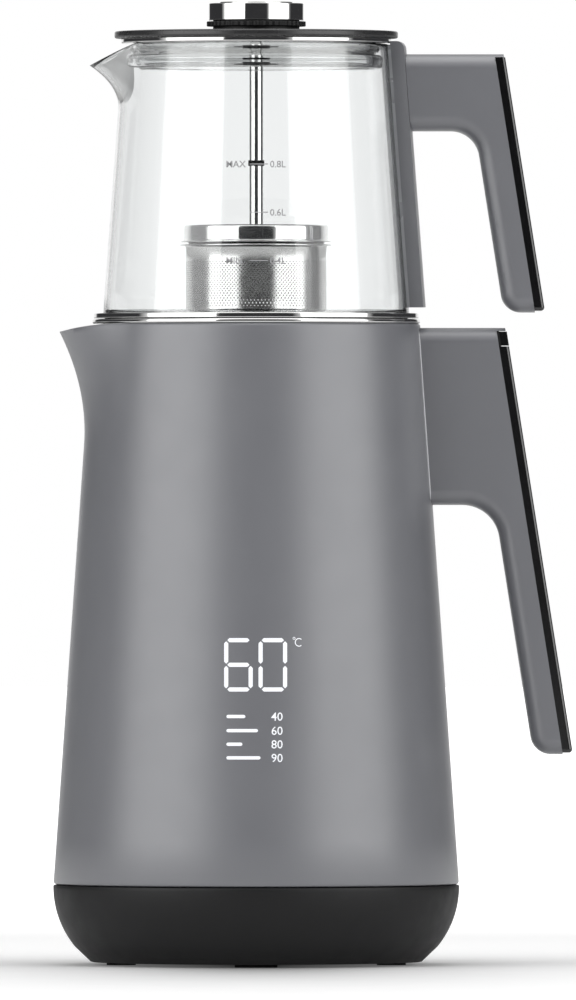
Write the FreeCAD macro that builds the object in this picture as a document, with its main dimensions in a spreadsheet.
import FreeCAD, Part
import math
import os
import Sketcher

# A tea maker: a heated kettle on a round power base, with a glass teapot seated on the kettle's mouth.
# Millimetres. +Z is up, the axis of the vessels is Z, the floor is Z = 0, handles point to +X,
# spouts to -X and the display to -Y.

os.makedirs("parts", exist_ok=True)
V = FreeCAD.Vector
doc = FreeCAD.newDocument("tea_maker")
sheet = doc.addObject("Spreadsheet::Sheet", "sizes")

# Driving dimensions
ROWS = [
    ("base_radius", 81.2, "widest radius of the power base"),
    ("base_curve", 38.0, "radius of the base's rounded side"),
    ("base_foot_inset", 15.2, "how far the base's underside stands in from its widest radius"),
    ("base_knee_inset", 8.7, "how far the side's lower end stands in from the widest radius"),
    ("base_knee_height", 7.3, "height where the rounded side begins"),
    ("base_clearance", 1.2, "height of the base's underside, and of its feet"),
    ("base_height", 32.0, "height of the deck that the kettle stands on"),
    ("base_wall", 2.6, "wall of the base shell"),
    ("base_cover", 2.5, "thickness of the base's bottom cover"),
    ("boss_circle", 50.0, "radius of the circle of base screws"),
    ("boss_radius", 4.0, "radius of a screw boss"),
    ("screw_radius", 1.5, "shank radius of the screws"),
    ("screw_head_radius", 2.8, "head radius of the screws"),
    ("screw_head_height", 1.2, "head height of the screws"),
    ("screw_length", 12.0, "length of a screw's shank"),
    ("foot_length", 17.0, "length of a foot pad along the rim"),
    ("foot_width", 11.6, "width of a foot pad"),
    ("foot_circle", 54.0, "radius of the circle of feet"),
    ("hub_radius", 17.5, "radius of the base's coupling hub"),
    ("hub_rise", 8.0, "rise of the hub over the deck"),
    ("hub_flange", 4.5, "width of the hub's flange under the deck"),
    ("gland_height", 18.0, "height of the cord gland's centre"),
    ("gland_bore", 3.5, "bore radius of the cord gland"),
    ("gland_radius", 6.0, "radius of the cord gland's neck"),
    ("gland_lip", 1.5, "how far the gland's flange stands out round its neck"),
    ("gland_neck", 9.0, "length of the gland's neck"),
    ("gland_flange", 2.0, "thickness of the gland's flange inside the shell"),
    ("gland_sink", 1.5, "how far the gland's mouth lies in from the widest radius"),
    ("join_gap", 0.3, "gap between pieces that lift apart"),
    ("seat_gap", 0.1, "gap at a seat between pieces of one body"),
    ("fit_gap", 0.05, "radial gap of a running fit"),
    ("housing_radius", 81.1, "radius of the kettle housing at its foot"),
    ("housing_top", 256.4, "height of the housing's upper edge"),
    ("housing_wall", 2.2, "wall of the kettle housing"),
    ("spout_start", 208.0, "height where the kettle's spout begins to swell"),
    ("spout_reach", 13.0, "reach of the kettle's spout beyond the wall"),
    ("spout_tip", 253.3, "height of the kettle's spout tip"),
    ("spout_width", 42.0, "half of the angle that a spout takes up, in degrees"),
    ("liner_step", 1.0, "how much wider the steel liner is than the kettle's mouth"),
    ("liner_taper", 0.031, "radius that the liner gains for each unit of depth"),
    ("liner_floor", 57.2, "height of the liner's underside"),
    ("liner_wall", 0.8, "wall of the steel liner"),
    ("ring_height", 1.8, "height of the mouth ring"),
    ("mouth_step", 0.7, "how much narrower the kettle's mouth is than the teapot's foot"),
    ("ring_width", 4.75, "width of the ring at the kettle's mouth"),
    ("plate_radius", 62.0, "radius of the heater plate"),
    ("plate_height", 3.0, "thickness of the heater plate"),
    ("element_circle", 48.0, "radius of the heating element's ring"),
    ("element_radius", 3.0, "radius of the heating element's tube"),
    ("floor_height", 3.0, "thickness of the kettle's floor"),
    ("coupler_radius", 22.3, "outer radius of the kettle's coupler cup"),
    ("coupler_rise", 13.7, "height of the coupler cup over the kettle's underside"),
    ("coupler_wall", 2.0, "wall of the coupler cup"),
    ("board_rise", 3.2, "height of the board's posts over the floor"),
    ("board_height", 1.6, "thickness of the circuit boards"),
    ("power_board_length", 60.0, "length of the power board"),
    ("power_board_width", 30.0, "width of the power board"),
    ("power_board_place", 30.0, "distance of the power board from the axis"),
    ("digit_height", 21.2, "height of a display digit"),
    ("digit_width", 11.6, "width of a display digit"),
    ("digit_stroke", 1.9, "width of a digit's stroke"),
    ("digit_base", 109.9, "height of the digits' lower edge"),
    ("digit_skin", 0.2, "thickness of the lit digit film"),
    ("display_low", 80.0, "height of the display board's lower edge"),
    ("display_tall", 54.0, "height of the display board"),
    ("display_broad", 34.0, "width of the display board"),
    ("guide_depth", 2.24, "thickness of the light guide at its upper edge"),
    ("handle_lean", 8.9, "lean of the handles' backs, in degrees"),
    ("handle_half", 10.8, "half width of the handles"),
    ("handle_round", 6.0, "rounding along the handles' edges"),
    ("band_depth", 4.0, "thickness of the black cover along a handle's back"),
    ("band_inset", 0.6, "how far the cover stands in from the handle's sides"),
    ("lip", 1.2, "thickness of the lip over the cover's upper end"),
    ("channel_depth", 6.0, "depth of the channel under a handle's cover"),
    ("channel_half", 6.5, "half width of the channel under a handle's cover"),
    ("kettle_arm_top", 254.7, "height of the kettle handle's top"),
    ("kettle_arm_low", 183.9, "height of the underside of the kettle handle's arm"),
    ("kettle_grip_end", 84.3, "height of the kettle grip's lower end"),
    ("kettle_back", 18.8, "how far the top of the kettle handle's back stands out from the housing's foot"),
    ("kettle_grip", 15.6, "depth of the kettle's grip"),
    ("kettle_crook", 15.0, "rounding inside the kettle handle's crook"),
    ("grip_end_round", 8.0, "rounding at a grip's lower end"),
    ("key_height", 5.6, "height of the keys at the top of the kettle handle"),
    ("key_depth", 3.0, "thickness of a key"),
    ("key_stem", 3.5, "length of the stem under a key"),
    ("pot_taper", 0.075, "radius that the teapot loses for each unit of height"),
    ("pot_radius", 61.5, "radius of the teapot at its bottom"),
    ("pot_wall", 2.2, "wall of the teapot's glass"),
    ("pot_floor", 2.4, "thickness of the teapot's glass floor"),
    ("pot_height", 110.4, "height of the teapot's glass"),
    ("pot_corner", 3.4, "rounding of the teapot's lower edge"),
    ("pot_spout_rise", 27.2, "height of the teapot's spout, from its start to the glass's top"),
    ("pot_spout_drop", 8.4, "how far the teapot's spout tip lies under the glass's top"),
    ("pot_spout_reach", 13.0, "reach of the teapot's spout beyond the wall"),
    ("pot_spout_width", 30.0, "half of the angle that the teapot's spout takes up, in degrees"),
    ("foot_lip", 3.2, "width of the foot ring's flange outside the glass"),
    ("foot_flange_height", 2.0, "height of the foot ring's flange"),
    ("foot_spigot", 6.0, "depth of the foot ring's spigot in the kettle's mouth"),
    ("foot_wall", 1.6, "wall of the foot ring"),
    ("pad_thickness", 1.2, "thickness of the clear pad between glass and bracket"),
    ("bracket_thickness", 5.4, "thickness of the teapot's handle bracket"),
    ("bracket_low", 263.0, "height of the bracket's lower end"),
    ("bracket_rise", 1.1, "rise of the bracket over the glass's top"),
    ("bracket_angle", 21.0, "angle round the glass that the bracket covers, in degrees"),
    ("pot_arm_top", 364.1, "height of the teapot handle's top"),
    ("pot_arm_low", 333.4, "height of the underside of the teapot handle's arm"),
    ("pot_grip_end", 260.9, "height of the teapot grip's lower end"),
    ("pot_back", 37.8, "how far the top of the teapot handle's back stands out from the glass's foot"),
    ("pot_grip", 16.3, "depth of the teapot's grip"),
    ("pot_crook", 11.5, "rounding inside the teapot handle's crook"),
    ("skirt_overhang", 0.78, "how far the lid's steel skirt stands out over the glass's rim"),
    ("skirt_height", 2.0, "height of the lid's steel skirt"),
    ("lid_overhang", 2.7, "how far the lid's black plate stands out over its skirt"),
    ("lid_height", 2.8, "thickness of the lid's black plate"),
    ("seal_clearance", 2.72, "gap between the wall of the lid's silicone seal and the glass"),
    ("seal_depth", 10.2, "depth of the lid's silicone seal"),
    ("seal_wall", 2.8, "wall of the lid's silicone seal"),
    ("seal_lip", 2.4, "reach of the seal's lip beyond its wall"),
    ("bush_radius", 5.5, "radius of the rod's guide bush"),
    ("bush_flange", 9.0, "radius of the bush's flange"),
    ("bush_depth", 6.5, "length of the bush under the lid"),
    ("rod_radius", 2.8, "radius of the infuser's rod"),
    ("neck_radius", 17.3, "radius of the knob's neck"),
    ("neck_height", 1.7, "height of the knob's neck"),
    ("grip_radius", 19.8, "radius of the knob's dark flange"),
    ("grip_height", 2.0, "height of the knob's dark flange"),
    ("knob_radius", 19.0, "radius of the polished knob"),
    ("knob_height", 6.8, "height of the polished knob"),
    ("knob_wall", 1.2, "wall of the polished knob"),
    ("disc_radius", 14.6, "radius of the disc on the knob"),
    ("disc_height", 0.6, "height of the disc on the knob"),
    ("collar_place", 319.5, "height of the stop collar's lower face"),
    ("collar_height", 2.2, "height of the stop collar"),
    ("collar_radius", 3.2, "radius of the stop collar"),
    ("cap_top", 295.9, "height of the infuser cap's top"),
    ("cap_radius", 29.0, "radius of the infuser's cap"),
    ("cap_height", 6.4, "height of the infuser's cap"),
    ("cap_flange", 30.2, "radius of the cap's flange"),
    ("sheet_wall", 0.6, "thickness of the infuser's sheet steel"),
    ("basket_radius", 27.7, "radius of the infuser basket"),
    ("basket_rim", 30.4, "radius of the basket's rim"),
    ("basket_low", 260.9, "height of the basket's underside"),
    ("basket_corner", 2.0, "rounding of the basket's lower edge"),
]


class Size:
    """A number that also carries the spreadsheet formula it comes from."""

    def __init__(self, value, formula=None):
        self.value = float(value)
        self.formula = formula or f"({self.value!r})"

    def join(self, other, sign, value):
        return Size(value, f"({self.formula} {sign} {other.formula})")

    def __add__(self, other):
        other = size_of(other)
        return self.join(other, "+", self.value + other.value)

    def __sub__(self, other):
        other = size_of(other)
        return self.join(other, "-", self.value - other.value)

    def __mul__(self, other):
        other = size_of(other)
        return self.join(other, "*", self.value * other.value)

    def __truediv__(self, other):
        other = size_of(other)
        return self.join(other, "/", self.value / other.value)

    def __radd__(self, other):
        return size_of(other) + self

    def __rsub__(self, other):
        return size_of(other) - self

    def __rmul__(self, other):
        return size_of(other) * self

    def __neg__(self):
        return size_of(0) - self


def size_of(number):
    return number if isinstance(number, Size) else Size(number)


def cosine(angle):
    return Size(math.cos(math.radians(angle.value)), f"cos({angle.formula})")


def tangent(angle):
    return Size(math.tan(math.radians(angle.value)), f"tan({angle.formula})")


class Sizes:
    """The driving dimensions by name."""


d = Sizes()
for line, (alias, value, meaning) in enumerate(ROWS, start=1):
    sheet.set(f"A{line}", meaning)
    sheet.set(f"B{line}", str(value))
    sheet.setAlias(f"B{line}", alias)
    setattr(d, alias, Size(value, f"sizes.{alias}"))
doc.recompute()

subparts = []


def bind(item, prop, size):
    size = size_of(size)
    item.setExpression(prop, size.formula)


def new_body(name):
    body = doc.addObject("PartDesign::Body", name)
    body.Label = name
    body.AllowCompound = True
    subparts.append(body)
    return body


def new_sketch(body, plane, name, lift=None):
    sketch = body.newObject("Sketcher::SketchObject", f"{body.Name}_{name}")
    support = [f for f in body.Origin.OriginFeatures if f.Role == plane][0]
    sketch.AttachmentSupport = [(support, "")]
    sketch.MapMode = "FlatFace"
    if lift is not None:
        lift = size_of(lift)
        sketch.AttachmentOffset = FreeCAD.Placement(V(0, 0, lift.value), FreeCAD.Rotation())
        bind(sketch, "AttachmentOffset.Base.z", lift)
    return sketch


def pin(sketch, kind, axis, item, end, size):
    """Hold one end of an item at a distance from the sketch's origin."""
    size = size_of(size)
    if size.formula == "(0.0)":
        sketch.addConstraint(Sketcher.Constraint("PointOnObject", item, end, axis))
        return
    index = sketch.addConstraint(Sketcher.Constraint(kind, -1, 1, item, end, size.value))
    sketch.setExpression(f"Constraints[{index}]", size.formula)


def draw_circle(sketch, x, y, radius):
    x, y, radius = size_of(x), size_of(y), size_of(radius)
    item = sketch.addGeometry(Part.Circle(V(x.value, y.value, 0), V(0, 0, 1), radius.value), False)
    pin(sketch, "DistanceX", -2, item, 3, x)
    pin(sketch, "DistanceY", -1, item, 3, y)
    index = sketch.addConstraint(Sketcher.Constraint("Radius", item, radius.value))
    sketch.setExpression(f"Constraints[{index}]", radius.formula)


def arc_between(start, end, radius):
    """An arc with its centre on the left of the way from start to end, or right if radius < 0."""
    span = end - start
    side = math.copysign(1.0, radius)
    rise = math.sqrt(radius * radius - span.Length ** 2 / 4)
    centre = (start + end) * 0.5 + V(-span.y, span.x, 0) * (side * rise / span.Length)
    if side < 0:
        start, end = end, start
    first = math.atan2(start.y - centre.y, start.x - centre.x)
    last = math.atan2(end.y - centre.y, end.x - centre.x)
    return Part.ArcOfCircle(Part.Circle(centre, V(0, 0, 1), abs(radius)), first, last)


def draw_outline(sketch, points):
    """A closed outline. A third entry in a point is the radius of the arc to the next point."""
    first = sketch.GeometryCount
    count = len(points)
    ends = []
    for i, point in enumerate(points):
        follower = points[(i + 1) % count]
        start = V(size_of(point[0]).value, size_of(point[1]).value, 0)
        end = V(size_of(follower[0]).value, size_of(follower[1]).value, 0)
        if len(point) == 3:
            sketch.addGeometry(arc_between(start, end, size_of(point[2]).value), False)
            ends.append((1, 2) if size_of(point[2]).value > 0 else (2, 1))
        else:
            sketch.addGeometry(Part.LineSegment(start, end), False)
            ends.append((1, 2))
    for i in range(count):
        follower = (i + 1) % count
        joint = Sketcher.Constraint("Coincident", first + i, ends[i][1], first + follower, ends[follower][0])
        sketch.addConstraint(joint)
    for i, point in enumerate(points):
        pin(sketch, "DistanceX", -2, first + i, ends[i][0], point[0])
        pin(sketch, "DistanceY", -1, first + i, ends[i][0], point[1])
        if len(point) == 3:
            radius = size_of(point[2])
            radius = radius if radius.value > 0 else -radius
            index = sketch.addConstraint(Sketcher.Constraint("Radius", first + i, radius.value))
            sketch.setExpression(f"Constraints[{index}]", radius.formula)


def turn(body, points, name="turning", angle=None):
    """Add a profile turned about Z, all round or over an angle centred on +X."""
    sketch = new_sketch(body, "XZ_Plane", f"{name}_profile")
    draw_outline(sketch, points)
    feature = body.newObject("PartDesign::Revolution", f"{body.Name}_{name}")
    feature.Profile = sketch
    feature.ReferenceAxis = (sketch, ["V_Axis"])
    feature.Angle = 360
    if angle is not None:
        bind(feature, "Angle", angle)
        feature.Midplane = True
    return feature


def groove(body, points, name="groove"):
    """Cut a profile turned all round Z."""
    sketch = new_sketch(body, "XZ_Plane", f"{name}_profile")
    draw_outline(sketch, points)
    feature = body.newObject("PartDesign::Groove", f"{body.Name}_{name}")
    feature.Profile = sketch
    feature.ReferenceAxis = (sketch, ["V_Axis"])
    feature.Angle = 360
    return feature


def pad(body, plane, draw, length, name="pad", lift=None, middle=False, back=False):
    """Extrude what draw puts in a sketch."""
    sketch = new_sketch(body, plane, f"{name}_outline", lift)
    draw(sketch)
    feature = body.newObject("PartDesign::Pad", f"{body.Name}_{name}")
    feature.Profile = sketch
    bind(feature, "Length", length)
    feature.Midplane = middle
    feature.Reversed = back
    return feature


def cut(body, plane, draw, length, name="cut", lift=None, middle=False):
    """Cut what draw puts in a sketch, towards the sketch's own normal unless it is centred."""
    sketch = new_sketch(body, plane, f"{name}_outline", lift)
    draw(sketch)
    doc.recompute()
    before = body.Shape.Volume
    feature = body.newObject("PartDesign::Pocket", f"{body.Name}_{name}")
    feature.Profile = sketch
    feature.Type = "Length"
    bind(feature, "Length", length)
    feature.Midplane = middle
    feature.Reversed = not middle
    doc.recompute()
    if not body.Shape.Volume < before:
        raise RuntimeError(f"{feature.Name} cuts nothing")
    return feature


def around(count, radius, start=0.0):
    """Places at even steps on a circle about Z."""
    steps = [math.radians(start + 360.0 * i / count) for i in range(count)]
    return [(radius * round(math.cos(a), 9), radius * round(math.sin(a), 9)) for a in steps]


def circles(places, *radii):
    def draw(sketch):
        for x, y in places:
            for radius in radii:
                draw_circle(sketch, x, y, radius)
    return draw


def outline(*points):
    return lambda sketch: draw_outline(sketch, points)


def rectangle(low_x, low_y, wide, tall):
    return outline((low_x, low_y), (low_x + wide, low_y), (low_x + wide, low_y + tall), (low_x, low_y + tall))


def round_off(body, radius, chosen, name="rounding"):
    """Round the edges that chosen accepts."""
    doc.recompute()
    base = body.Tip
    names = [f"Edge{i}" for i, edge in enumerate(base.Shape.Edges, start=1) if chosen(edge)]
    feature = body.newObject("PartDesign::Fillet", f"{body.Name}_{name}")
    feature.Base = (base, names)
    feature.Radius = size_of(radius).value
    bind(feature, "Radius", radius)
    return feature


def hoop(radius, height):
    """Chooses the round edge of this radius at this height."""
    def chosen(edge):
        box = edge.BoundBox
        flat = box.ZLength < 0.01 and abs(box.ZMin - size_of(height).value) < 0.02
        return flat and abs(box.XMax - size_of(radius).value) < 0.05
    return chosen


def shaped(name, shape):
    """A piece whose form is worked out in code."""
    piece = doc.addObject("Part::Feature", name)
    piece.Label = name
    piece.Shape = shape
    subparts.append(piece)
    return piece


# Power base
base_foot_radius = d.base_radius - d.base_foot_inset
base_knee_radius = d.base_radius - d.base_knee_inset
base_top = d.base_height
deck_low = d.base_height - d.base_wall
cover_top = d.base_clearance + d.base_cover
cover_radius = base_foot_radius - d.base_wall

shell = new_body("base_shell")
turn(shell, [
    (base_foot_radius, d.base_clearance),
    (base_knee_radius, d.base_knee_height, d.base_curve),
    (d.base_radius, base_top - 0.5),
    (d.base_radius, base_top),
    (d.hub_radius + d.seat_gap, base_top),
    (d.hub_radius + d.seat_gap, deck_low),
    (d.base_radius - d.base_wall, deck_low, d.base_wall - d.base_curve),
    (base_knee_radius - d.base_wall * 0.75, d.base_knee_height + d.base_wall * 0.65),
    (cover_radius + d.seat_gap, cover_top + 0.2),
    (cover_radius + d.seat_gap, d.base_clearance),
])
base_screw_places = around(4, d.boss_circle, 45)
pad(shell, "XY_Plane", circles(base_screw_places, d.boss_radius, d.screw_radius),
    deck_low - cover_top, "bosses", lift=cover_top)
gland_hole = circles([(size_of(0), d.gland_height)], d.gland_radius)
cut(shell, "XZ_Plane", gland_hole, d.base_wall * 4, "cord_hole", lift=-d.base_radius)

cover = new_body("base_bottom_cover")
turn(cover, [(0, d.base_clearance), (cover_radius, d.base_clearance), (cover_radius, cover_top), (0, cover_top)])
cut(cover, "XY_Plane", circles(base_screw_places, d.screw_radius), d.base_cover, "screw_holes",
    lift=d.base_clearance)
cut(cover, "XY_Plane", circles(base_screw_places, d.screw_head_radius), d.screw_head_height, "head_seats",
    lift=d.base_clearance)


def screws_up(name, places, low, length):
    """Screws along Z with their heads at the bottom."""
    body = new_body(name)
    pad(body, "XY_Plane", circles(places, d.screw_head_radius), d.screw_head_height, "heads", lift=low)
    pad(body, "XY_Plane", circles(places, d.screw_radius), length, "shanks", lift=low + d.screw_head_height)
    return body


screws_up("base_screws", base_screw_places, d.base_clearance, d.screw_length)


def draw_feet(sketch):
    for x, y in around(4, d.foot_circle):
        along_x = abs(x.value) < abs(y.value)
        wide = d.foot_length if along_x else d.foot_width
        tall = d.foot_width if along_x else d.foot_length
        left, right = x - wide / 2, x + wide / 2
        low, high = y - tall / 2, y + tall / 2
        draw_outline(sketch, [(left, low), (right, low), (right, high), (left, high)])


feet = new_body("base_feet")
pad(feet, "XY_Plane", draw_feet, d.base_clearance)
round_off(feet, d.foot_width / 4, lambda e: e.BoundBox.ZLength > d.base_clearance.value * 0.9)

hub_top = d.base_height + d.hub_rise
hub_low = deck_low - d.hub_flange
slot_floor = d.base_height - 2.0
pin_bore = 3.1
slots = [(7.6, 9.4), (12.4, 14.2)]
hub = new_body("base_coupling_hub")
turn(hub, [
    (pin_bore, hub_low),
    (d.hub_radius + d.hub_flange, hub_low),
    (d.hub_radius + d.hub_flange, deck_low),
    (d.hub_radius, deck_low),
    (d.hub_radius, hub_top),
    (slots[1][1], hub_top), (slots[1][1], slot_floor), (slots[1][0], slot_floor), (slots[1][0], hub_top),
    (slots[0][1], hub_top), (slots[0][1], slot_floor), (slots[0][0], slot_floor), (slots[0][0], hub_top),
    (pin_bore, hub_top),
])
contact_wall = 0.6
contacts = new_body("base_contacts")
socket = circles([(size_of(0), size_of(0))], pin_bore, pin_bore - contact_wall)
pad(contacts, "XY_Plane", socket, hub_top - hub_low - 2.0, "socket", lift=hub_low)
for number, (inner, outer) in enumerate(slots):
    ring = circles([(size_of(0), size_of(0))], outer, outer - contact_wall)
    pad(contacts, "XY_Plane", ring, hub_top - slot_floor - 1.5, f"ring{number}", lift=slot_floor)

# The cord isn't part of the object as photographed: only the rubber gland that it would enter by.
gland = new_body("cord_gland")
gland_axis = circles([(size_of(0), d.gland_height)], d.gland_radius - d.seat_gap, d.gland_bore)
gland_flange = circles([(size_of(0), d.gland_height)], d.gland_radius + d.gland_lip, d.gland_bore)
gland_mouth = d.base_radius - d.gland_sink
pad(gland, "XZ_Plane", gland_axis, d.gland_neck, "neck", lift=-gland_mouth)
pad(gland, "XZ_Plane", gland_flange, d.gland_flange, "flange", lift=-(gland_mouth - d.gland_neck))

terminals = new_body("mains_terminal_block")
pad(terminals, "XY_Plane", rectangle(-d.gland_bore * 3, d.hub_radius + d.hub_flange + 8.0, d.gland_bore * 6, 12.0),
    10.0, "block", lift=cover_top)


def lead(name, side):
    """A short insulated wire from the terminal block to the coupling hub."""
    radius = 1.1
    start = V(side * 5.0, d.hub_radius.value + d.hub_flange.value + 8.0, cover_top.value + 6.0)
    middle = V(side * 5.0, d.hub_radius.value * 0.6, cover_top.value + 6.0)
    end = V(side * 5.0, d.hub_radius.value * 0.6, hub_low.value)
    bend = 4.5
    run_in = V(middle.x, middle.y + bend, middle.z)
    run_out = V(middle.x, middle.y, middle.z + bend)
    centre = V(middle.x, middle.y + bend, middle.z + bend)
    turn_point = centre + V(0, -1, -1) * (bend / math.sqrt(2))
    path = Part.Wire([
        Part.LineSegment(start, run_in).toShape(),
        Part.Arc(run_in, turn_point, run_out).toShape(),
        Part.LineSegment(run_out, end).toShape(),
    ])
    section = Part.Wire([Part.Circle(start, V(0, 1, 0), radius).toShape()])
    return shaped(name, path.makePipeShell([section], True, False))


lead("live_lead", 1)
lead("neutral_lead", -1)

# Kettle housing and liner
kettle_low = d.base_height + d.join_gap
mouth_radius = d.pot_radius - d.mouth_step
liner_mouth = mouth_radius + d.liner_step
ring_radius = mouth_radius + d.ring_width
housing_taper = (d.housing_radius - ring_radius) / (d.housing_top - kettle_low)


def housing_radius_at(height):
    return d.housing_radius - (height - kettle_low) * housing_taper


def liner_radius_at(height):
    return liner_mouth + (d.housing_top - height) * d.liner_taper


def vessel_ring(radius, reach, width, height):
    """One level of a round vessel whose wall swells towards -X by reach, over twice the width."""
    count = 72
    points = []
    for i in range(count):
        angle = 2 * math.pi * i / count
        off = abs(angle - math.pi) / math.radians(width)
        swell = reach * math.cos(math.pi / 2 * min(off, 1.0)) ** 2
        points.append(V((radius + swell) * math.cos(angle), (radius + swell) * math.sin(angle), height))
    curve = Part.BSplineCurve()
    curve.interpolate(Points=points, PeriodicFlag=True)
    return Part.Wire([curve.toShape()])


def vessel(levels, radius_at, reach_at, width):
    rings = [vessel_ring(radius_at(z), reach_at(z), width, z) for z in levels]
    return Part.makeLoft(rings, True, True)


def levels_between(low, start, high, upper):
    """The lowest height, then even steps from start to high."""
    return [low] + [start + (high - start) * i / upper for i in range(upper + 1)]


def swell_law(start, tip, reach, power):
    """The spout's reach by height: a power law up to the tip, straight above it."""
    def reach_at(height):
        t = (height - start) / (tip - start)
        if t <= 0:
            return 0.0
        return reach * t ** power if t <= 1 else reach * (1 + power * (t - 1))
    return reach_at


def above_lip(points, top, side):
    """The space over a spout's lip, whose edge runs through the points in the XZ plane."""
    start, through, end = [V(x, -side, z) for x, z in points]
    edges = [
        Part.Arc(start, through, end).toShape(),
        Part.LineSegment(end, V(end.x, -side, top)).toShape(),
        Part.LineSegment(V(end.x, -side, top), V(start.x, -side, top)).toShape(),
        Part.LineSegment(V(start.x, -side, top), start).toShape(),
    ]
    return Part.Face(Part.Wire(edges)).extrude(V(0, 2 * side, 0))


def cylinder_x(x, y, z, radius, length):
    return Part.makeCylinder(radius, length, V(x, y, z), V(1, 0, 0))


kettle_swell = swell_law(d.spout_start.value, d.spout_tip.value, d.spout_reach.value, 2.0)
spout_steps = 10
kettle_levels = levels_between(kettle_low.value, d.spout_start.value, d.housing_top.value, spout_steps)
wall = d.housing_wall.value
handle_screw_heights = [d.kettle_arm_top - 12.0, d.kettle_arm_low + 12.0]

kettle_outer = vessel(kettle_levels, lambda z: housing_radius_at(z).value, kettle_swell, d.spout_width.value)
kettle_inner = vessel([kettle_levels[0] - 1] + kettle_levels[1:-1] + [kettle_levels[-1] + 1],
                      lambda z: housing_radius_at(z).value - wall, kettle_swell, d.spout_width.value)
tip_x = -(housing_radius_at(d.spout_tip).value + d.spout_reach.value)
kettle_lip = above_lip(
    [(-liner_mouth.value + 8, d.housing_top.value),
     ((tip_x - liner_mouth.value + 8) / 2, (d.housing_top.value + d.spout_tip.value) / 2 + 0.8),
     (tip_x, d.spout_tip.value)],
    d.housing_top.value + 5, d.base_radius.value)
beyond_tip = Part.makeBox(20, 2 * d.base_radius.value, 20, V(tip_x - 20, -d.base_radius.value, d.spout_tip.value))
housing_shape = kettle_outer.cut(kettle_inner).cut(kettle_lip).cut(beyond_tip)
for height in handle_screw_heights:
    housing_shape = housing_shape.cut(cylinder_x(0, 0, height.value, d.screw_radius.value, d.base_radius.value))
shaped("kettle_housing", housing_shape)

liner_levels = levels_between(d.liner_floor.value, d.spout_start.value, d.housing_top.value, spout_steps)
liner_outer = vessel(liner_levels, lambda z: liner_radius_at(z).value, kettle_swell, d.spout_width.value)
inner_levels = [d.liner_floor.value + d.liner_wall.value] + liner_levels[1:-1] + [liner_levels[-1] + 1]
liner_inner = vessel(inner_levels, lambda z: liner_radius_at(z).value - d.liner_wall.value, kettle_swell,
                     d.spout_width.value)
shaped("kettle_liner", liner_outer.cut(liner_inner).cut(kettle_lip).cut(beyond_tip))

ring_top = d.housing_top + d.ring_height
mouth_ring = new_body("kettle_mouth_ring")
turn(mouth_ring, [
    (mouth_radius, d.housing_top),
    (ring_radius, d.housing_top),
    (ring_radius, ring_top),
    (mouth_radius, ring_top),
])
round_off(mouth_ring, d.ring_height / 3, hoop(ring_radius, ring_top))

# Kettle floor, coupler and heating
floor_top = kettle_low + d.floor_height
floor_radius = housing_radius_at(floor_top) - d.housing_wall - d.join_gap
kettle_floor = new_body("kettle_floor")
turn(kettle_floor, [
    (d.coupler_radius + d.seat_gap, kettle_low),
    (floor_radius, kettle_low),
    (floor_radius, floor_top),
    (d.coupler_radius + d.seat_gap, floor_top),
])
board_posts = [(side * d.power_board_length * 0.4, d.power_board_place + d.power_board_width * part)
               for side in (-1, 1) for part in (0.2, 0.8)]
pad(kettle_floor, "XY_Plane", circles(board_posts, d.boss_radius - 1.0), d.board_rise, "posts", lift=floor_top)

coupler = new_body("kettle_coupler")
coupler_flange = 5.0
coupler_top = kettle_low + d.coupler_rise
turn(coupler, [
    (d.coupler_radius - d.coupler_wall, kettle_low),
    (d.coupler_radius, kettle_low),
    (d.coupler_radius, floor_top),
    (d.coupler_radius + coupler_flange, floor_top),
    (d.coupler_radius + coupler_flange, floor_top + d.coupler_wall),
    (d.coupler_radius, floor_top + d.coupler_wall),
    (d.coupler_radius, coupler_top),
    (0, coupler_top),
    (0, coupler_top - d.coupler_wall),
    (d.coupler_radius - d.coupler_wall, coupler_top - d.coupler_wall),
])
roof = coupler_top - d.coupler_wall
kettle_contacts = new_body("kettle_contacts")
pin_length = roof - kettle_low - 0.7
pad(kettle_contacts, "XY_Plane", circles([(size_of(0), size_of(0))], size_of(pin_bore - contact_wall - 0.8)),
    pin_length, "pin", lift=kettle_low + 0.7)
for number, (inner, outer) in enumerate(slots):
    ring = circles([(size_of(0), size_of(0))], inner + 0.9, inner + 0.4)
    pad(kettle_contacts, "XY_Plane", ring, pin_length, f"ring{number}", lift=kettle_low + 0.7)

plate_low = d.liner_floor - d.plate_height
heater_plate = new_body("heater_plate")
turn(heater_plate, [(0, plate_low), (d.plate_radius, plate_low), (d.plate_radius, d.liner_floor), (0, d.liner_floor)])

element = doc.addObject("Part::Torus", "heating_element")
element.Label = "heating_element"
bind(element, "Radius1", d.element_circle)
bind(element, "Radius2", d.element_radius)
element.Angle3 = 330
element_height = plate_low - d.element_radius - d.seat_gap
element.Placement = FreeCAD.Placement(V(0, 0, 0), FreeCAD.Rotation(V(0, 0, 1), 15))
bind(element, "Placement.Base.z", element_height)
subparts.append(element)

sensor = new_body("temperature_sensor")
sensor_height = 4.0
turn(sensor, [(0, plate_low - sensor_height), (5.0, plate_low - sensor_height), (5.0, plate_low), (0, plate_low)])
cutout = new_body("overheat_cutout")
pad(cutout, "XY_Plane", rectangle(size_of(-8.0), size_of(-36.0), 16.0, 12.0), 5.0, "block", lift=plate_low - 5.0)

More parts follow.
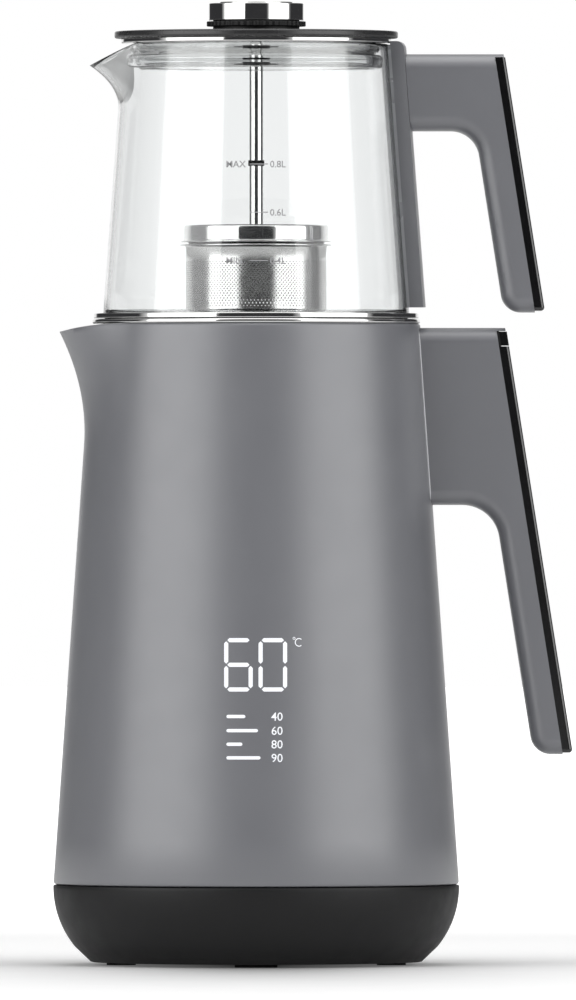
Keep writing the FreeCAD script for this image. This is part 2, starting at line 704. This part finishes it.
board_low = floor_top + d.board_rise
board_top = board_low + d.board_height
power_board = new_body("power_board")
pad(power_board, "XY_Plane",
    rectangle(-d.power_board_length / 2, d.power_board_place, d.power_board_length, d.power_board_width),
    d.board_height, "board", lift=board_low)
relay = new_body("relay")
pad(relay, "XY_Plane", rectangle(size_of(-20.0), d.power_board_place + 1.0, 18.0, 10.0), 9.0, "case", lift=board_top)
capacitor = new_body("supply_capacitor")
pad(capacitor, "XY_Plane", circles([(size_of(12.0), d.power_board_place + 6.0)], 4.0), 8.0, "can", lift=board_top)

# Display behind the front of the housing
display_top = d.display_low + d.display_tall


def inner_wall(height):
    return housing_radius_at(height) - d.housing_wall - d.seat_gap * 2


display_depth = inner_wall(display_top) - d.guide_depth
display = new_body("display_board")
pad(display, "XZ_Plane", rectangle(-d.display_broad / 2, d.display_low, d.display_broad, d.display_tall),
    d.board_height, "board", lift=display_depth - d.board_height)
guide = new_body("display_light_guide")
pad(guide, "XZ_Plane", rectangle(-d.display_broad / 2, d.display_low, d.display_broad, d.display_tall),
    d.housing_radius - display_depth, "block", lift=display_depth)
groove(guide, [
    (inner_wall(d.display_low - 10), d.display_low - 10),
    (d.housing_radius + 30, d.display_low - 10),
    (d.housing_radius + 30, display_top + 10),
    (inner_wall(display_top + 10), display_top + 10),
], "wall_fit")


def segment(sketch, x, z, length, upright):
    """One stroke of a digit: a bar with pointed ends."""
    half = d.digit_stroke / 2
    along = [(half, 0), (0, half), (0, length - half), (half, length), (2 * half, length - half), (2 * half, half)]
    if not upright:
        along = [(b, a) for a, b in along]
        along.reverse()
    draw_outline(sketch, [(x + a, z + b) for a, b in along])


def draw_digit(sketch, left, strokes):
    gap = 0.35
    wide = d.digit_width - d.digit_stroke
    tall = (d.digit_height - d.digit_stroke) / 2
    half = d.digit_stroke / 2
    low = d.digit_base
    places = {
        "bottom": (left + half + gap, low, wide - 2 * gap, False),
        "middle": (left + half + gap, low + tall, wide - 2 * gap, False),
        "top": (left + half + gap, low + tall * 2, wide - 2 * gap, False),
        "low_left": (left, low + half + gap, tall - 2 * gap, True),
        "low_right": (left + wide, low + half + gap, tall - 2 * gap, True),
        "high_left": (left, low + half + tall + gap, tall - 2 * gap, True),
        "high_right": (left + wide, low + half + tall + gap, tall - 2 * gap, True),
    }
    for stroke in strokes:
        segment(sketch, *places[stroke])


def draw_sixty(sketch):
    six = ("bottom", "middle", "top", "low_left", "low_right", "high_left")
    zero = ("bottom", "top", "low_left", "low_right", "high_left", "high_right")
    draw_digit(sketch, -d.digit_width - 1.3, six)
    draw_digit(sketch, size_of(1.0), zero)


digits = new_body("display_digits")
pad(digits, "XZ_Plane", draw_sixty, d.housing_radius - display_depth, "strokes", lift=display_depth)
digit_top = d.digit_base + d.digit_height


def skin(height, lift):
    return housing_radius_at(height) + lift


groove(digits, [
    (0, d.digit_base - 10), (skin(d.digit_base - 10, 0.02), d.digit_base - 10),
    (skin(digit_top + 10, 0.02), digit_top + 10), (0, digit_top + 10),
], "under")
groove(digits, [
    (skin(d.digit_base - 10, d.digit_skin), d.digit_base - 10), (d.housing_radius + 30, d.digit_base - 10),
    (d.housing_radius + 30, digit_top + 10), (skin(digit_top + 10, d.digit_skin), digit_top + 10),
], "over")

# Handles
lean = d.handle_lean


class Handle:
    """The outline that both handles share: an arm at the top and a leaning grip."""

    def __init__(self, top, arm_low, end, back, grip, crook, root):
        self.top, self.arm_low, self.end = top, arm_low, end
        self.back, self.grip, self.crook, self.root = back, grip, crook, root

    def at(self, height, depth):
        """A point at this height, this deep under the handle's leaning back."""
        x = self.back + (self.top - height) * tangent(lean) - depth / cosine(lean)
        return (x, height)


def edge_at(point):
    """Chooses the edge along Y through a point of the outline."""
    def chosen(edge):
        box = edge.BoundBox
        along_y = box.XLength < 0.01 and box.ZLength < 0.01
        return along_y and abs(box.XMin - point[0].value) < 0.05 and abs(box.ZMin - point[1].value) < 0.05
    return chosen


def build_handle(name, handle, root_cone):
    """The grey moulding: outline, rounded edges, root cut to the vessel, channel under the cover."""
    body = new_body(name)
    lip_low = handle.top - d.lip
    crook = handle.at(handle.arm_low, handle.grip)
    heel = handle.at(handle.end, handle.grip)
    shape = outline(
        (handle.root, handle.top),
        (handle.root, handle.arm_low),
        crook,
        heel,
        handle.at(handle.end, d.band_depth),
        handle.at(lip_low, d.band_depth),
        handle.at(lip_low, size_of(0.4)),
        handle.at(handle.top, size_of(0.4)),
    )
    pad(body, "XZ_Plane", shape, d.handle_half * 2, "block", middle=True)
    round_off(body, handle.crook, edge_at(crook), "crook")
    round_off(body, d.grip_end_round, edge_at(heel), "heel")
    side = d.handle_half.value

    def on_side(edge):
        box = edge.BoundBox
        if box.YLength > 0.01 or abs(abs(box.YMin) - side) > 0.01:
            return False
        middle = edge.valueAt((edge.FirstParameter + edge.LastParameter) / 2)
        back = handle.at(size_of(middle.z), d.band_depth)[0].value
        return middle.x < back - 0.5 and middle.x > handle.root.value + 0.5

    round_off(body, d.handle_round, on_side, "sides")
    groove(body, root_cone, "root")
    channel = outline(
        handle.at(lip_low - d.lip, d.band_depth + d.channel_depth),
        handle.at(handle.end + d.grip_end_round * 1.5, d.band_depth + d.channel_depth),
        handle.at(handle.end + d.grip_end_round * 1.5, d.band_depth - 1),
        handle.at(lip_low - d.lip, d.band_depth - 1),
    )
    cut(body, "XZ_Plane", channel, d.channel_half * 2, "channel", middle=True)
    return body


def build_cover(name, handle, top):
    """The glossy black strip along the handle's back."""
    body = new_body(name)
    low = handle.end + 0.6
    strip = outline(
        handle.at(top, size_of(0)), handle.at(top, d.band_depth),
        handle.at(low, d.band_depth), handle.at(low, size_of(0)),
    )
    pad(body, "XZ_Plane", strip, (d.handle_half - d.band_inset) * 2, "strip", middle=True)
    back = [handle.at(top, size_of(0)), handle.at(low, size_of(0))]

    def outer_edge(edge):
        middle = edge.valueAt((edge.FirstParameter + edge.LastParameter) / 2)
        box = edge.BoundBox
        on_back = abs(middle.x - handle.at(size_of(middle.z), size_of(0))[0].value) < 0.05
        return on_back and box.ZLength > 1

    round_off(body, d.band_depth / 3, outer_edge, "edges")
    round_off(body, d.band_depth / 3, edge_at(back[1]), "end")
    return body


kettle_grip = Handle(d.kettle_arm_top, d.kettle_arm_low, d.kettle_grip_end, d.housing_radius + d.kettle_back,
                     d.kettle_grip,
                     d.kettle_crook, d.housing_radius - 25)


def cone_under(low, high, radius_at):
    """A profile that fills the space inside a cone."""
    return [(0, low), (radius_at(low), low), (radius_at(high), high), (0, high)]


root_low, root_high = d.kettle_arm_low - 20, d.kettle_arm_top + 10
kettle_handle = build_handle("kettle_handle", kettle_grip,
                             cone_under(root_low, root_high, lambda z: housing_radius_at(z) + d.seat_gap))
cut(kettle_handle, "YZ_Plane", circles([(size_of(0), z) for z in handle_screw_heights], d.screw_radius),
    d.screw_length + 10, "screw_holes", lift=housing_radius_at(d.kettle_arm_low) - 10)
key_low = d.kettle_arm_top - d.lip - d.join_gap - d.key_height
build_cover("kettle_handle_cover", kettle_grip, key_low - d.join_gap)


def screws_out(name, places, length):
    """Screws along +X, heads towards the axis. Each place is (x, z) of the seat under the head."""
    body = new_body(name)
    for number, (x, z) in enumerate(places):
        spot = [(size_of(0), z)]
        pad(body, "YZ_Plane", circles(spot, d.screw_head_radius), d.screw_head_height, f"head{number}",
            lift=x - d.screw_head_height)
        pad(body, "YZ_Plane", circles(spot, d.screw_radius), length, f"shank{number}", lift=x)
    return body


inside = d.housing_wall + d.screw_head_radius * housing_taper + d.seat_gap
screws_out("kettle_handle_screws", [(housing_radius_at(z) - inside, z) for z in handle_screw_heights],
           d.screw_length)

board_depth = d.band_depth + d.channel_depth
button_board = new_body("button_board")
board_face = outline(
    kettle_grip.at(key_low + 3, board_depth), kettle_grip.at(key_low - 18, board_depth),
    kettle_grip.at(key_low - 18, board_depth - d.board_height), kettle_grip.at(key_low + 3, board_depth - d.board_height),
)
pad(button_board, "XZ_Plane", board_face, (d.channel_half - d.join_gap) * 2, "board", middle=True)

key_side = d.handle_half - d.band_inset
key_top = key_low + d.key_height
for name, back in (("power_key", False), ("temperature_key", True)):
    key = new_body(name)
    face = outline(
        kettle_grip.at(key_top, size_of(0)), kettle_grip.at(key_top, d.key_depth),
        kettle_grip.at(key_low, d.key_depth), kettle_grip.at(key_low, size_of(0)),
    )
    start = d.join_gap / 2
    pad(key, "XZ_Plane", face, key_side - start, "cap", lift=start if not back else -key_side)
    stem_height = key_low + 1.0
    stem = outline(
        kettle_grip.at(stem_height + 1.5, d.key_depth), kettle_grip.at(stem_height + 1.5, d.key_depth + d.key_stem),
        kettle_grip.at(stem_height, d.key_depth + d.key_stem), kettle_grip.at(stem_height, d.key_depth),
    )
    stem_half = 1.0
    stem_place = d.channel_half * 0.55
    pad(key, "XZ_Plane", stem, size_of(stem_half * 2), "stem",
        lift=stem_place - stem_half if not back else -stem_place - stem_half)

# Glass teapot
flange_low = ring_top + d.join_gap
flange_top = flange_low + d.foot_flange_height
pot_low = flange_top - 2.7
pot_top = pot_low + d.pot_height
pot_spout_start = pot_top - d.pot_spout_rise
pot_spout_tip = pot_top - d.pot_spout_drop


def pot_radius_at(height):
    return d.pot_radius - (height - pot_low) * d.pot_taper


pot_swell = swell_law(pot_spout_start.value, pot_spout_tip.value, d.pot_spout_reach.value, 2.3)
pot_levels = levels_between(pot_low.value, pot_spout_start.value, pot_top.value, spout_steps)
corner = d.pot_corner.value
corner_steps = 6
corner_levels = [pot_low.value + corner * (1 - math.cos(math.pi / 2 * i / corner_steps))
                 for i in range(corner_steps + 1)]


def pot_outer_radius(height):
    """The glass's outer radius, drawn in at its rounded lower edge."""
    short = max(0.0, pot_low.value + corner - height)
    inset = corner - math.sqrt(corner ** 2 - short ** 2)
    return pot_radius_at(height).value - inset


pot_outer = vessel(corner_levels + pot_levels[1:], pot_outer_radius, pot_swell, d.pot_spout_width.value)
inner_levels = [pot_low.value + d.pot_floor.value] + pot_levels[1:-1] + [pot_levels[-1] + 1]
pot_inner = vessel(inner_levels, lambda z: pot_radius_at(z).value - d.pot_wall.value, pot_swell,
                   d.pot_spout_width.value)
pot_tip_x = -(pot_radius_at(pot_spout_tip).value + d.pot_spout_reach.value)
pot_lip = above_lip(
    [(-pot_radius_at(pot_top).value + 4, pot_top.value),
     ((pot_tip_x - pot_radius_at(pot_top).value + 4) / 2, (pot_top.value + pot_spout_tip.value) / 2 + 0.4),
     (pot_tip_x, pot_spout_tip.value)],
    pot_top.value + 5, d.pot_radius.value)
pot_beyond = Part.makeBox(30, 2 * d.pot_radius.value, 30, V(pot_tip_x - 30, -d.pot_radius.value, pot_spout_tip.value))
shaped("teapot_glass", pot_outer.cut(pot_inner).cut(pot_lip).cut(pot_beyond))

foot = new_body("teapot_foot_ring")
spigot = mouth_radius - d.join_gap
glass_edge = pot_radius_at(flange_top) + d.seat_gap * 5
foot_flange = glass_edge + d.foot_lip
shelf_top = pot_low - d.seat_gap * 2
turn(foot, [
    (spigot, flange_low),
    (foot_flange, flange_low),
    (foot_flange, flange_top),
    (glass_edge, flange_top),
    (glass_edge - d.pot_corner * 0.6, shelf_top),
    (spigot - d.foot_wall * 4, shelf_top),
    (spigot - d.foot_wall * 4, shelf_top - d.foot_wall),
    (spigot - d.foot_wall, shelf_top - d.foot_wall),
    (spigot - d.foot_wall, flange_low - d.foot_spigot),
    (spigot, flange_low - d.foot_spigot),
])
round_off(foot, d.foot_flange_height / 3, hoop(foot_flange, flange_top))


def glass_band(low, high, inner, outer):
    """A profile that follows the leaning glass between two heights."""
    return [(pot_radius_at(low) + inner, low), (pot_radius_at(low) + outer, low),
            (pot_radius_at(high) + outer, high), (pot_radius_at(high) + inner, high)]


pad_outer = d.seat_gap + d.pad_thickness
bracket_outer = pad_outer + d.bracket_thickness
bracket_top = pot_top + d.bracket_rise
pad_top = pot_top - d.join_gap
pad_piece = new_body("handle_pad")
turn(pad_piece, glass_band(d.bracket_low, pad_top, d.seat_gap, pad_outer), angle=d.bracket_angle)
bracket = new_body("handle_bracket")
turn(bracket, glass_band(d.bracket_low, bracket_top, pad_outer, bracket_outer), angle=d.bracket_angle)


def top_outer(edge):
    box = edge.BoundBox
    corner = pot_radius_at(bracket_top) + bracket_outer
    return box.ZLength < 0.01 and box.ZMin > bracket_top.value - 0.01 and box.XMax > corner.value - 0.05 \
        and box.YLength > 5


round_off(bracket, d.bracket_thickness * 0.6, top_outer, "crown")
pot_screw_heights = [d.pot_arm_top - 7.0, d.pot_arm_low + 7.0]
pot_screws = circles([(size_of(0), z) for z in pot_screw_heights], d.screw_radius)
cut(bracket, "YZ_Plane", pot_screws, 30.0, "screw_holes", lift=pot_radius_at(bracket_top) - 10)
head_seat = d.screw_head_height + d.screw_head_radius * d.pot_taper + d.seat_gap
for number, z in enumerate(pot_screw_heights):
    cut(bracket, "YZ_Plane", circles([(size_of(0), z)], d.screw_head_radius + d.seat_gap), 10 + head_seat,
        f"head_seat{number}", lift=pot_radius_at(z) + pad_outer - 10)
pot_grip = Handle(d.pot_arm_top, d.pot_arm_low, d.pot_grip_end, d.pot_radius + d.pot_back, d.pot_grip,
                  d.pot_crook,
                  d.pot_radius - 10)
pot_handle = build_handle(
    "teapot_handle", pot_grip,
    cone_under(d.pot_arm_low - 20, d.pot_arm_top + 10, lambda z: pot_radius_at(z) + bracket_outer + d.seat_gap))
cut(pot_handle, "YZ_Plane", pot_screws, d.screw_length + 10, "screw_holes",
    lift=pot_radius_at(d.pot_arm_top) + bracket_outer - 8)
build_cover("teapot_handle_cover", pot_grip, d.pot_arm_top - d.lip - d.seat_gap)
screws_out("teapot_handle_screws",
           [(pot_radius_at(z) + pad_outer + head_seat, z) for z in pot_screw_heights], d.screw_length)

# Lid
skirt_low = pot_top + d.join_gap
skirt_top = skirt_low + d.skirt_height
lid_top = skirt_top + d.lid_height
bush_hole = d.bush_radius + d.seat_gap
skirt_radius = pot_radius_at(pot_top) + d.skirt_overhang
lid_radius = skirt_radius + d.lid_overhang
lid_skirt = new_body("lid_skirt")
turn(lid_skirt, [(bush_hole, skirt_low), (skirt_radius, skirt_low), (skirt_radius, skirt_top),
                 (bush_hole, skirt_top)])
lid_plate = new_body("lid_plate")
turn(lid_plate, [(bush_hole, skirt_top), (lid_radius, skirt_top), (lid_radius, lid_top), (bush_hole, lid_top)])
round_off(lid_plate, d.lid_height / 4, hoop(lid_radius, lid_top), "upper")
round_off(lid_plate, d.lid_height / 4, hoop(lid_radius, skirt_top), "lower")

seal_low = skirt_low - d.seal_depth
seal_radius = pot_radius_at(pot_top) - d.pot_wall - d.seal_clearance
seal_inner = seal_radius - d.seal_wall
seal_groove = skirt_low - d.seal_depth * 0.47
lid_seal = new_body("lid_seal")
turn(lid_seal, [
    (seal_inner, seal_low),
    (seal_radius + 0.7, seal_low),
    (seal_radius + 0.7, seal_low + d.seal_depth * 0.2),
    (seal_radius + d.seal_lip, seal_low + d.seal_depth * 0.42),
    (seal_radius - 1.3, seal_groove),
    (seal_radius, seal_groove + d.seal_depth * 0.05),
    (seal_radius, skirt_low),
    (seal_inner, skirt_low),
])

bush_low = skirt_low - d.bush_depth
rod_hole = d.rod_radius + d.fit_gap
bush = new_body("rod_guide_bush")
flange_depth = 2.0
turn(bush, [
    (rod_hole, bush_low), (d.bush_radius, bush_low), (d.bush_radius, skirt_low - flange_depth),
    (d.bush_flange, skirt_low - flange_depth), (d.bush_flange, skirt_low), (d.bush_radius, skirt_low),
    (d.bush_radius, lid_top), (rod_hole, lid_top),
])

# Knob, rod and infuser
neck_low = lid_top + d.join_gap
neck_top = neck_low + d.neck_height
grip_top = neck_top + d.grip_height
groove_top = grip_top + 0.4
knob_top = groove_top + d.knob_height
knob_base = new_body("knob_base")
turn(knob_base, [
    (d.rod_radius, neck_low), (d.neck_radius, neck_low), (d.neck_radius, neck_top), (d.grip_radius, neck_top),
    (d.grip_radius, grip_top), (d.neck_radius, grip_top), (d.neck_radius, groove_top), (d.rod_radius, groove_top),
])
knob = new_body("knob_shell")
turn(knob, [
    (d.neck_radius - d.knob_wall, groove_top), (d.knob_radius, groove_top), (d.knob_radius, knob_top),
    (0, knob_top), (0, knob_top - d.knob_wall), (d.neck_radius - d.knob_wall, knob_top - d.knob_wall),
])
round_off(knob, d.knob_wall * 0.7, hoop(d.knob_radius, knob_top))
knob_disc = new_body("knob_disc")
turn(knob_disc, [(0, knob_top), (d.disc_radius, knob_top), (d.disc_radius, knob_top + d.disc_height),
                 (0, knob_top + d.disc_height)])

cap_low = d.cap_top - d.cap_height
rod_low = d.cap_top - d.cap_height / 2
rod = new_body("infuser_rod")
turn(rod, [(0, rod_low), (d.rod_radius, rod_low), (d.rod_radius, knob_top - d.knob_wall),
           (0, knob_top - d.knob_wall)])
collar = new_body("rod_collar")
turn(collar, [(d.rod_radius, d.collar_place), (d.collar_radius, d.collar_place),
              (d.collar_radius, d.collar_place + d.collar_height), (d.rod_radius, d.collar_place + d.collar_height)])

flange_height = d.sheet_wall
plug_radius = d.basket_radius - d.sheet_wall - d.join_gap
cap_plug_low = cap_low - flange_height - 5.0
cap = new_body("infuser_cap")
turn(cap, [
    (d.rod_radius, d.cap_top - d.sheet_wall), (d.rod_radius, d.cap_top),
    (d.cap_radius, d.cap_top), (d.cap_radius, cap_low), (d.cap_flange, cap_low),
    (d.cap_flange, cap_low - flange_height), (plug_radius, cap_low - flange_height),
    (plug_radius, cap_plug_low), (plug_radius - d.sheet_wall, cap_plug_low),
    (plug_radius - d.sheet_wall, d.cap_top - d.sheet_wall),
])
round_off(cap, 1.4, hoop(d.cap_radius, d.cap_top))

rim_top = cap_low - flange_height - d.join_gap
basket = new_body("infuser_basket")
turn(basket, [
    (0, d.basket_low), (d.basket_radius, d.basket_low), (d.basket_radius, rim_top - 0.9),
    (d.basket_rim, rim_top - 0.9), (d.basket_rim, rim_top), (d.basket_radius - d.sheet_wall, rim_top),
    (d.basket_radius - d.sheet_wall, d.basket_low + d.sheet_wall), (0, d.basket_low + d.sheet_wall),
])
round_off(basket, d.basket_corner, hoop(d.basket_radius, d.basket_low), "outer_corner")
round_off(basket, d.basket_corner - d.sheet_wall,
          hoop(d.basket_radius - d.sheet_wall, d.basket_low + d.sheet_wall), "inner_corner")

# The origin is the middle of the object's own box on the floor: every piece shifts by half of what the
# kettle's handle stands out further than the base
doc.recompute()
handles = [piece for piece in subparts if piece.Label.startswith("kettle_handle")]
reach = max(piece.Shape.optimalBoundingBox(False, False).XMax for piece in handles)
shift = (d.base_radius.value - reach) / 2
for piece in subparts:
    piece.Placement = FreeCAD.Placement(V(shift, 0, 0), FreeCAD.Rotation())

# Check every object, then write each piece
doc.recompute()
for item in doc.Objects:
    if "Invalid" in item.State or "Error" in item.State:
        raise RuntimeError(f"{item.Name} failed: {item.State}")
for piece in subparts:
    if piece.Shape.isNull() or not piece.Shape.isValid() or not piece.Shape.Solids:
        raise RuntimeError(f"{piece.Label} has no valid solid")
for piece in subparts:
    piece.Shape.exportStep(os.path.join("parts", f"{piece.Label}.step"))
    box = piece.Shape.BoundBox
    print(f"{piece.Label:24} {len(piece.Shape.Solids)} {piece.Shape.Volume:10.1f} "
          f"x {box.XMin:7.1f} {box.XMax:7.1f} y {box.YMin:6.1f} {box.YMax:6.1f} z {box.ZMin:6.1f} {box.ZMax:6.1f}")
